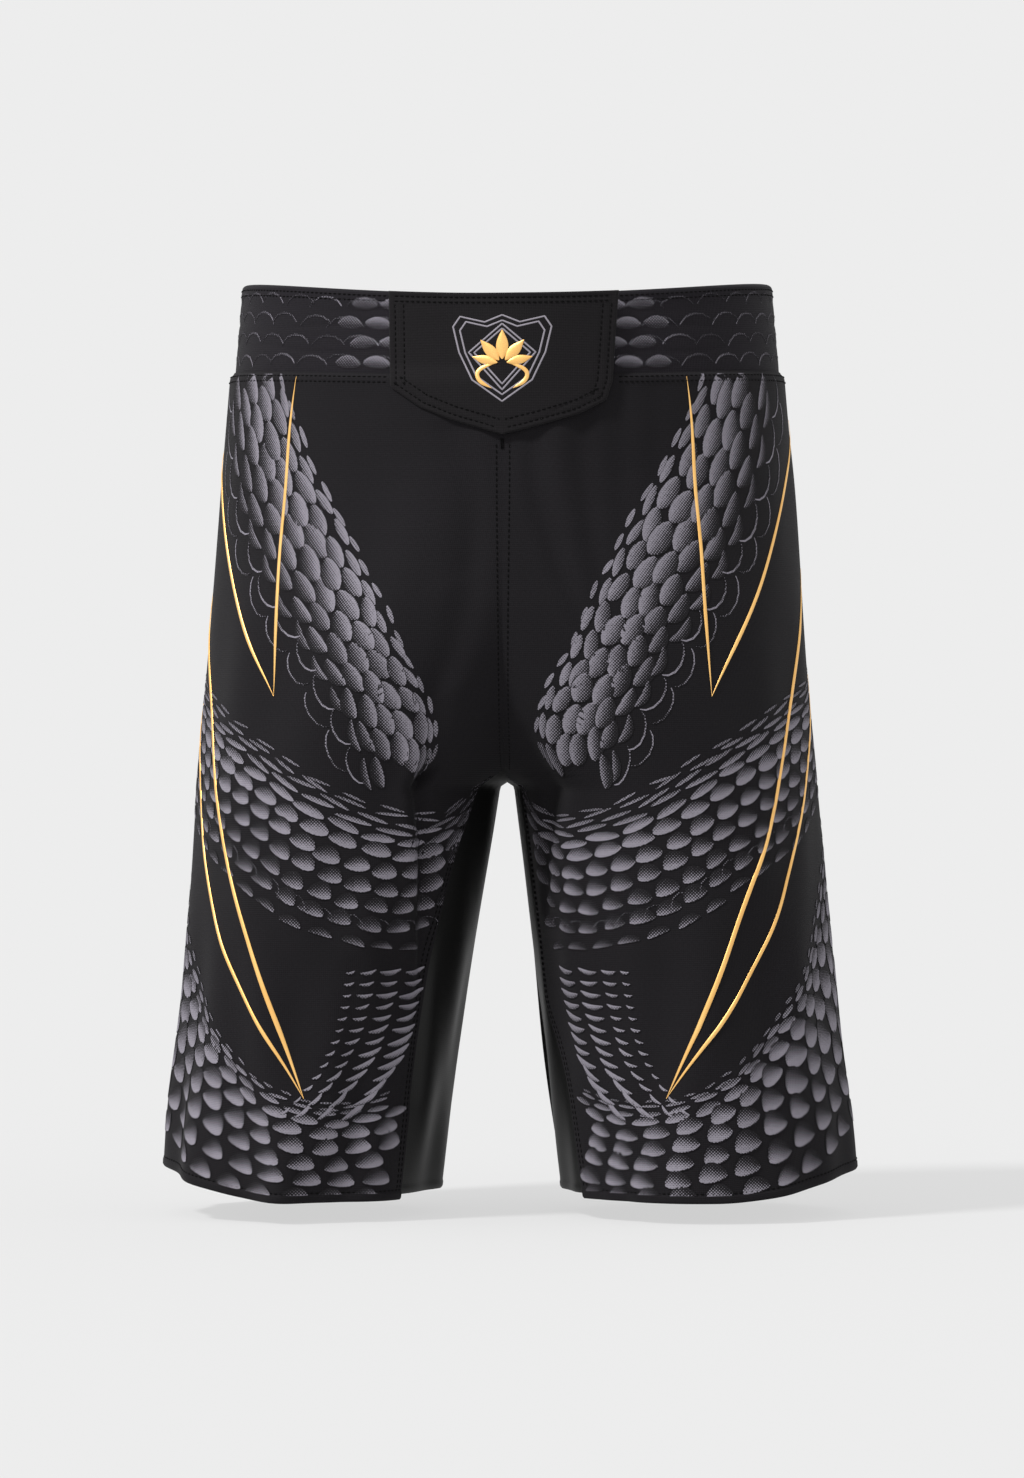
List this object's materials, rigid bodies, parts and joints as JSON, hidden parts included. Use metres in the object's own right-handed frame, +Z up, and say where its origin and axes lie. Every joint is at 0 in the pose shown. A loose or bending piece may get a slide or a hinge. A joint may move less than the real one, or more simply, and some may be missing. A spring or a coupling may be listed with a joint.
{
  "type": "fight shorts",
  "caption": "Knee-length fight shorts with a wide waistband, a folding front closure flap, scale-printed leg panels and satin inner-leg gussets.",
  "frame": {"origin": "middle of the waist opening, level with the top edge of the band at the hips", "axes": "+Z up along the wearer's body, -Y towards the front, +X towards the wearer's left"},
  "size_m": [0.4092, 0.2581, 0.53],
  "materials": {
    "printed_shell_cloth": "matte black microfibre with a grey dyed-in scale print",
    "plain_shell_cloth": "matte black microfibre",
    "gusset_satin": "black satin weave, slightly glossy",
    "printed_band_cloth": "charcoal microfibre with a fine grey outline print",
    "facing_cloth": "plain black lining cloth",
    "interlining": "stiff nonwoven interlining",
    "woven_elastic": "ribbed woven elastic",
    "flap_cloth": "matte black microfibre, double layer",
    "loop_pile": "brushed loop pile",
    "hook_nylon": "moulded nylon hooks on woven tape",
    "label_satin": "white satin label tape, blank",
    "sewing_thread": "spun polyester thread",
    "foil_print": "thin gold foil transfer, satin sheen",
    "outline_print": "thin grey plastisol print"
  },
  "bodies": {
    "shorts_shell": {"front_panel_right": "printed_shell_cloth", "back_panel_right": "printed_shell_cloth", "inner_gusset_right": "gusset_satin", "hem_fold_right": "plain_shell_cloth", "waistband_front_right": "printed_band_cloth", "band_stiffener_right": "interlining", "band_facing_front_right": "facing_cloth", "front_panel_left": "printed_shell_cloth", "back_panel_left": "printed_shell_cloth", "inner_gusset_left": "gusset_satin", "hem_fold_left": "plain_shell_cloth", "waistband_front_left": "printed_band_cloth", "band_stiffener_left": "interlining", "band_facing_front_left": "facing_cloth", "waistband_back": "printed_band_cloth", "waist_elastic": "woven_elastic", "band_facing_back": "facing_cloth", "care_label": "label_satin", "fly_underlap": "plain_shell_cloth", "loop_tape": "loop_pile", "flap_sewn_half": "flap_cloth"},
    "closure_flap": {"flap_free_half": "flap_cloth", "flap_facing": "facing_cloth", "hook_tape": "hook_nylon"}
  },
  "joints": [
    {"name": "flap_fold", "type": "hinge", "parent": "shorts_shell", "child": "closure_flap", "pos_m": [0, -0.1193, -0.05], "axis": [0, -0.053, -0.9986], "range_deg": [0, 160]}
  ]
}
